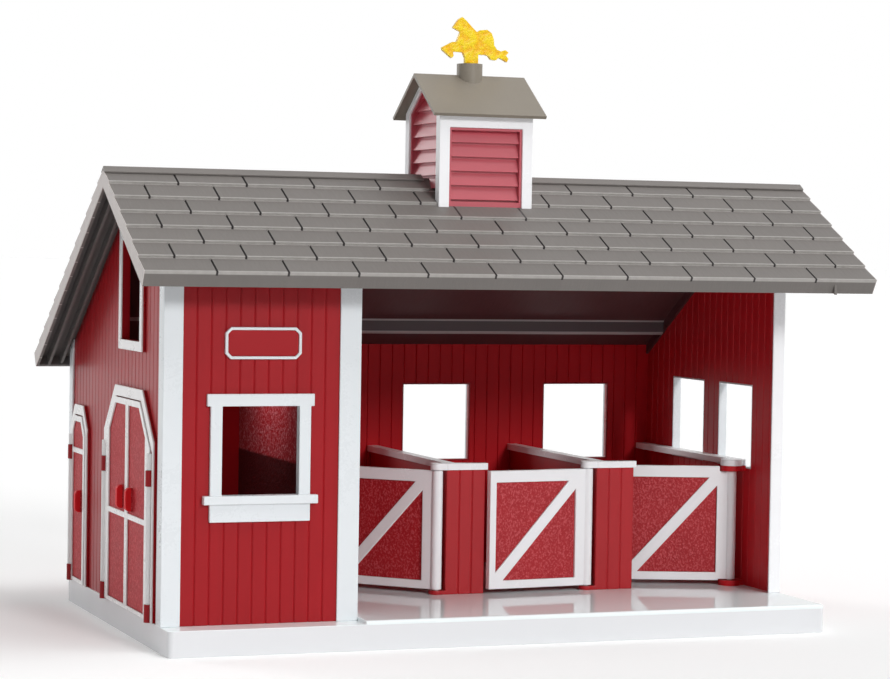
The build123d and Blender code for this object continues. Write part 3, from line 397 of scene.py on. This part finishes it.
def roomSide(finish, look):
    # inside the room the pebble tops get a painted glint, a painted highlight, and the lower part is darker,
    # a plain, deep brown
    pebbled(finish, look)
    room = finish.along("X").before(partition["middle"], partition["blend"])
    low = finish.along("Z").before(partition["brownTop"], partition["brownBlend"]) * room
    raised = ((look["height"] - partition["paintedGlintFrom"]) * partition["paintedGlintRise"]).clipped()
    paintedGlint = room * raised * partition["paintedGlintShare"]
    look["colour"] = finish.mix(paintedGlint, look["colour"], partition["paintedGlintColour"])
    look["colour"] = finish.mix(low * partition["brownShare"], look["colour"], partition["brownColour"])


figure = {
    # the orange is painted shade in the figure's hollows
    "size": 3.2, "full": 0.36, "none": 0.56, "share": 0.75, "colour": (0.90, 0.42, 0.004),
    "depth": 0.9, "strength": 0.8,
}


def figureHollowShade(finish, look):
    # deeper orange painted as shade in the hollows of the figure
    hollow = finish.noise(figure["size"], detail=2.0, rough=0.6)
    stops = ((figure["full"], 1.0), (figure["none"], 0.0))
    deep = finish.add("ShaderNodeValToRGB", {"stops": stops}, {"Fac": hollow})
    look["colour"] = finish.mix(deep * figure["share"], look["colour"], figure["colour"])
    look.update(height=hollow, depth=figure["depth"] * mm, strength=figure["strength"])


boards = {
    "pitch": 6.2, "across": -144.0, "skew": 1.003,      # one rule for the walls along X and along Y
    "chanceShare": 0.12, "grain": 1.2, "grainShare": 0.18, "darkest": 0.6, "relief": 0.4,
    # the inner sides' lighter red is painted light
    "rightDepth": 1.35, "backDepth": 1.2, "blend": 0.2, "paintedLightInsideRed": (0.56, 0.010, 0.017),
}


def boarding(finish, look):
    # each board has a slightly different red, with a faint grain up it
    run = finish.along("X") + finish.along("Y") * boards["skew"] - boards["across"] * mm
    board = finish.chance((run / (boards["pitch"] * mm)).floor())
    grain = finish.noise(boards["grain"], stretch=(1.0, 1.0, 0.1), detail=3.0, rough=0.6)
    amount = board * boards["chanceShare"] + grain * boards["grainShare"]
    look["colour"] = finish.mix(amount, look["colour"], shaded(plastics["red"]["colour"], boards["darkest"]))
    look["height"] = blended(grain, look["height"], boards["relief"])


def rightWallBoards(finish, look):
    # the right wall is plain on its inner side, in a lighter red that is painted light
    boarding(finish, look)
    inside = finish.along("X").before(rightFace - boards["rightDepth"], boards["blend"])
    look["colour"] = finish.mix(inside, look["colour"], boards["paintedLightInsideRed"])


def backWallBoards(finish, look):
    # the back wall has the same plain inner side, also lightened with painted light
    boarding(finish, look)
    inside = finish.along("Y").before(backFace - boards["backDepth"], boards["blend"])
    look["colour"] = finish.mix(inside, look["colour"], boards["paintedLightInsideRed"])


paint = {
    # where the white ends behind the face of the door surrounds, and the red sleeve past the back wall's face
    "trimDepth": 0.6, "leafDepth": 0.05, "blend": 0.15,
    "sleeveReach": 0.05, "sleeveBlend": 0.1,
}


def trimPaint(finish, look):
    # only the raised front faces are painted white, and the red plastic shows on their sides
    behind = finish.along("X").past(doorFace + paint["trimDepth"], paint["blend"])
    look["colour"] = finish.mix(behind, look["colour"], plastics["red"]["colour"])


def leafPaint(finish, look):
    # the leaves' white fronts stand a little prouder
    behind = finish.along("X").past(doorFace + paint["leafDepth"], paint["blend"])
    look["colour"] = finish.mix(behind, look["colour"], plastics["red"]["colour"])


def backFramePaint(finish, look):
    # the sleeve inside a window hole is the wall's own red
    inside = finish.along("Y").before(backFace + paint["sleeveReach"], paint["sleeveBlend"])
    look["colour"] = finish.mix(inside, look["colour"], plastics["red"]["colour"])


roof = {
    # millimetres and degrees; run is level, away from the ridge, and depth is under the tiles' plane
    "ridgeY": -33.2, "ridgeZ": 199.6, "left": -165.0, "tile": 30.0,
    "frontPitch": 30.4, "frontReach": 72.7, "frontRows": 7,
    "backPitch": 31.8, "backReach": 135.4, "backRows": 13,
    "crisp": 0.1, "narrow": 0.15, "soft": 0.2, "wallBlend": 0.5,      # widths of blends
    "grain": 0.9, "grainStretch": (1.0, 0.12, 0.12), "chanceShare": 0.45, "toneShare": 0.5, "darkest": 0.72,
    "grainGloss": 0.15, "grainDepth": 0.12, "grainStrength": 0.5,
    # the lips' pale colour is a painted highlight, broken up by noise
    "lip": 0.8, "lipHighlightColour": (0.44, 0.42, 0.40), "highlightBreakSize": 3.0, "highlightLeast": 0.6, "highlightRise": 0.5,
    # the slits' near-black is painted shade
    "slit": 0.55, "slitShadeColour": (0.035, 0.03, 0.03),
    # the barge faces' pale colour is a painted reflection
    "barge": 163.4, "bargeFace": 164.7, "bargeSheenShare": 0.85, "bargeSheenColour": (0.62, 0.57, 0.55),
    "underDepth": 2.15, "eave": 6.2, "house": 149.0,
    # the underside colours are painted shade, with painted red bounce indoors; the tie's edge colour is a
    # painted highlight
    "undersideShadeGrey": (0.13, 0.12, 0.115), "undersideShadeAndBounceRed": (0.10, 0.035, 0.037),
    "tieY": 70.0, "tieHalf": 1.6, "tieLow": 8.1, "tieHigh": 3.3,
    "tieColour": (0.10, 0.075, 0.08), "tieEdgeHighlight": (0.42, 0.38, 0.38),
}


class RoofSpot:
    # where a point of the roof lies: down the slopes, along its row and under the tiles
    def __init__(self, finish):
        x, y, z = (finish.along(axis) for axis in ("X", "Y", "Z"))
        away = y - roof["ridgeY"] * mm
        self.frontStep = roof["frontReach"] / roof["frontRows"]
        self.backStep = roof["backReach"] / roof["backRows"]
        self.frontRun = (away * -1.0).atLeast(0.0)
        self.backRun = away.atLeast(0.0)
        backRow = (self.backRun / (self.backStep * mm)).floor()
        frontRow = (self.frontRun / (self.frontStep * mm)).floor()
        self.row = backRow + frontRow
        shift = self.row.modulo(2.0) * (roof["tile"] * mm / 2)
        self.alongRow = x - roof["left"] * mm + shift
        self.fromMiddle = x.absolute()
        self.fromTie = (y - roof["tieY"] * mm).absolute()
        frontDrop = self.frontRun * math.tan(math.radians(roof["frontPitch"]))
        backDrop = self.backRun * math.tan(math.radians(roof["backPitch"]))
        self.depth = roof["ridgeZ"] * mm - frontDrop - backDrop - z
        self.onTiles = self.fromMiddle.before(roof["barge"], roof["crisp"])
        self.deep = self.depth.past(roof["underDepth"], roof["narrow"])


def tileShades(finish, spot, grain, colour):
    # every tile has a shade of its own and a brushed grain
    tile = finish.chance((spot.alongRow / (roof["tile"] * mm)).floor(), spot.row)
    tone = blended(tile, grain, roof["chanceShare"]).clipped()
    darkest = shaded(plastics["grey"]["colour"], roof["darkest"])
    return finish.mix(tone * roof["toneShare"], colour, darkest)


def paintedLipHighlights(finish, spot, colour):
    # the lower lip of each row gets a patchy, pale painted highlight
    frontLip = spot.frontRun.modulo(spot.frontStep * mm).past(spot.frontStep - roof["lip"], roof["soft"])
    backLip = spot.backRun.modulo(spot.backStep * mm).past(spot.backStep - roof["lip"], roof["soft"])
    highlightBreak = finish.noise(roof["highlightBreakSize"], detail=3.0) * roof["highlightRise"] + roof["highlightLeast"]
    return finish.mix((frontLip + backLip).atMost(1.0) * highlightBreak.atMost(1.0), colour, roof["lipHighlightColour"])


def paintedSlitShade(finish, spot, colour):
    # the slits between neighbouring tiles are darkened with painted shade
    fromSlit = spot.alongRow.modulo(roof["tile"] * mm)
    beside = fromSlit.atMost(roof["tile"] * mm - fromSlit)
    slit = beside.before(roof["slit"], roof["narrow"]) * spot.onTiles * (1.0 - spot.deep)
    return finish.mix(slit, colour, roof["slitShadeColour"])


def paintedBargeSheen(finish, spot, colour):
    # the outer faces of the barge boards are pale with a painted reflection of the bright surroundings
    outer = spot.fromMiddle.past(roof["bargeFace"], roof["crisp"])
    return finish.mix((1.0 - spot.onTiles) * outer * roof["bargeSheenShare"], colour, roof["bargeSheenColour"])


def underside(finish, spot, colour):
    # painted shade makes the underside dark grey outside the walls and dark red inside, where the red is also
    # painted bounce from the walls, and the tie over the stalls has painted highlights along its edges
    behindFascia = spot.frontRun.before(roof["frontReach"] - roof["eave"], roof["crisp"])
    under = spot.deep * behindFascia * spot.onTiles
    indoors = spot.fromMiddle.before(roof["house"], roof["wallBlend"])
    colour = finish.mix(under * (1.0 - indoors), colour, roof["undersideShadeGrey"])
    colour = finish.mix(under * indoors, colour, roof["undersideShadeAndBounceRed"])
    tie = spot.fromTie.before(roof["tieHalf"], roof["crisp"]) * under * indoors
    colour = finish.mix(tie, colour, roof["tieColour"])
    highlitRims = spot.depth.past(roof["tieLow"], roof["crisp"]) + spot.depth.before(roof["tieHigh"], roof["crisp"])
    return finish.mix(tie * highlitRims.atMost(1.0), colour, roof["tieEdgeHighlight"])


def shingles(finish, look):
    spot = RoofSpot(finish)
    grain = finish.noise(roof["grain"], stretch=roof["grainStretch"], detail=3.0, rough=0.6)
    colour = tileShades(finish, spot, grain, look["colour"])
    colour = paintedLipHighlights(finish, spot, colour)
    colour = paintedSlitShade(finish, spot, colour)
    colour = paintedBargeSheen(finish, spot, colour)
    look["colour"] = underside(finish, spot, colour)
    look["roughness"] = look["roughness"] + (grain - 0.5) * roof["grainGloss"]
    look.update(height=grain, depth=roof["grainDepth"] * mm, strength=roof["grainStrength"])


materials = {
    "red": plastic("redPlastic", plastics["red"]),
    "slats": plastic("slatSheenPlastic", plastics["slatRedAndSheen"]),
    "cap": plastic("capPlastic", plastics["capGrey"]),
    "backWall": plastic("innerBoardedRedPlastic", plastics["backRed"], backWallBoards),
    "boards": plastic("boardedRedPlastic", plastics["red"], boarding),
    "gatePanel": plastic("grainedRedPlastic", plastics["pebbledRed"], pebbled),
    "white": plastic("whitePlastic", plastics["white"]),
    "paintedLitWhite": plastic("paintedLitWhitePlastic", plastics["paintedLitWhite"]),
    "stallRed": plastic("stallRedPlastic", plastics["stallRed"], boarding),
    "trim": plastic("paintedTrim", plastics["doorWhite"], trimPaint),
    "backFrame": plastic("paintedBackFrame", plastics["white"], backFramePaint),
    "leaf": plastic("paintedLeaf", plastics["doorWhite"], leafPaint),
    "leafPanel": plastic("doorPanelPlastic", plastics["doorRed"], doorPanel),
    "partition": plastic("partitionPlastic", plastics["pebbledRed"], roomSide),
    "rightWall": plastic("rightWallPlastic", plastics["red"], rightWallBoards),
    "base": plastic("basePlastic", plastics["base"], deckGlossAndPaintedLight),
    "shingles": plastic("shinglePlastic", plastics["grey"], shingles),
    "grey": plastic("greyPlastic", plastics["grey"]),
    "yellow": plastic("yellowPlastic", plastics["yellow"], figureHollowShade),
}

print("materials made:", len(materials))

finishOf = {
    "base": ("base_tray",),
    "red": ("stall_jamb", "sign_board"),
    "slats": ("louvre_front", "louvre_back", "louvre_left", "louvre_right"),
    "boards": ("left_gable_wall", "front_room_wall"),
    "rightWall": ("right_gable_wall",),
    "partition": ("partition_wall",),
    "stallRed": ("stall_divider_1", "stall_divider_2"),
    # these parts take the brighter copy of the white, which is painted light
    "paintedLitWhite": ("gate_frame_1", "gate_frame_2", "gate_frame_3", "divider_cap_1", "divider_cap_2",
                   "right_ledge", "post_right_front", "cupola_frame"),
    "backWall": ("back_wall",),
    "gatePanel": ("gate_panel_1", "gate_panel_2", "gate_panel_3"),
    "leafPanel": ("double_leaf_panel_1", "double_leaf_panel_2", "single_leaf_panel"),
    "trim": ("double_door_surround", "single_door_surround", "loft_frame"),
    "backFrame": ("back_window_frame_1", "back_window_frame_2", "back_window_frame_3"),
    "leaf": ("double_leaf_frame_1", "double_leaf_frame_2", "single_leaf_frame"),
    "shingles": ("roof_front", "roof_back"),
    "grey": ("ridge_strip_left", "ridge_strip_right"),
    "cap": ("cupola_roof",),
    "yellow": ("weather_vane",),
}
# the other posts, the other window frames and the sign's rim are plain white
finishByNode = {node: kind for kind, members in finishOf.items() for node in members}
for name, piece in nodes.items():
    piece.data.materials.clear()
    piece.data.materials.append(materials[finishByNode.get(name, "white")])
print("finishes given to", len(nodes), "nodes")

louvreSill = {
    "inset": 4.9, "front": 0.9, "depth": 2.6, "height": 2.2, "round": 0.2, "roundSteps": 2,
    "slope": 0.587, "drop": 1.2, "sink": 0.6,       # its seat falls with the shingles, and it sinks into them
}


def makeLouvreSill(name, side):
    # red bar that closes the gap between the lowest slat and the shingles
    low, high = (Vector(corner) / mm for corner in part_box("cupola_frame"))
    setup = louvreSill
    face = low.y if side < 0 else high.y
    outer = face - side * setup["front"]
    inner = outer - side * setup["depth"]
    middle = (outer + inner) / 2
    seat = roof["ridgeZ"] - abs(outer - roof["ridgeY"]) * setup["slope"] - setup["drop"]
    bar = bmesh.new()
    bmesh.ops.create_cube(bar, size=1.0)
    width = high.x - low.x - 2 * setup["inset"]
    height = setup["height"] + setup["sink"]
    bmesh.ops.scale(bar, vec=Vector((width, setup["depth"], height)) * mm, verts=bar.verts)
    centre = Vector(((low.x + high.x) / 2, middle, seat - setup["sink"] + height / 2)) * mm
    bmesh.ops.translate(bar, vec=centre, verts=bar.verts)
    bmesh.ops.bevel(bar, geom=bar.edges[:], offset=setup["round"] * mm, segments=setup["roundSteps"],
                    profile=0.5, affect="EDGES", material=-1)
    mesh = bpy.data.meshes.new(name)
    bar.to_mesh(mesh)
    bar.free()
    sill = bpy.data.objects.new(name, mesh)
    scene.collection.objects.link(sill)
    mesh.materials.append(materials["slats"])
    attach(sill, "barn")


makeLouvreSill("louvreSillFront", -1)
makeLouvreSill("louvreSillBack", 1)
print("louvre sills made")

edges = {"sharpest": 30.0, "weld": 0.002, "flatness": 0.5, "roundSteps": 2}    # degrees and millimetres
edgeWidths = {
    # how wide each piece's rounds are, in millimetres
    "usual": 0.3,
    "base_tray": 0.5, "weather_vane": 0.45, "gate_frame_1": 0.4, "gate_frame_2": 0.4, "gate_frame_3": 0.4,
    "right_gable_wall": 0.08, "back_wall": 0.15, "left_gable_wall": 0.15,
    "louvre_front": 0.15, "louvre_back": 0.15, "louvre_left": 0.15, "louvre_right": 0.15,
}


def softenEdges(piece, width):
    # moulded plastic has no knife edges, so each one gets a narrow round
    weld = piece.modifiers.new("weld", "WELD")
    weld.merge_threshold = edges["weld"] * mm
    flat = piece.modifiers.new("flat", "DECIMATE")
    flat.decimate_type = "DISSOLVE"
    flat.angle_limit = math.radians(edges["flatness"])
    bevel = piece.modifiers.new("round", "BEVEL")
    bevel.width = width * mm
    bevel.segments = edges["roundSteps"]
    bevel.limit_method = "ANGLE"
    bevel.angle_limit = math.radians(edges["sharpest"])
    bevel.use_clamp_overlap = True
    evened = piece.modifiers.new("evened", "WEIGHTED_NORMAL")
    evened.keep_sharp = True


for name, piece in nodes.items():
    if not name.startswith("roof_"):        # the stepped shingles keep their crisp lips
        softenEdges(piece, edgeWidths.get(name, edgeWidths["usual"]))
print("edges rounded")
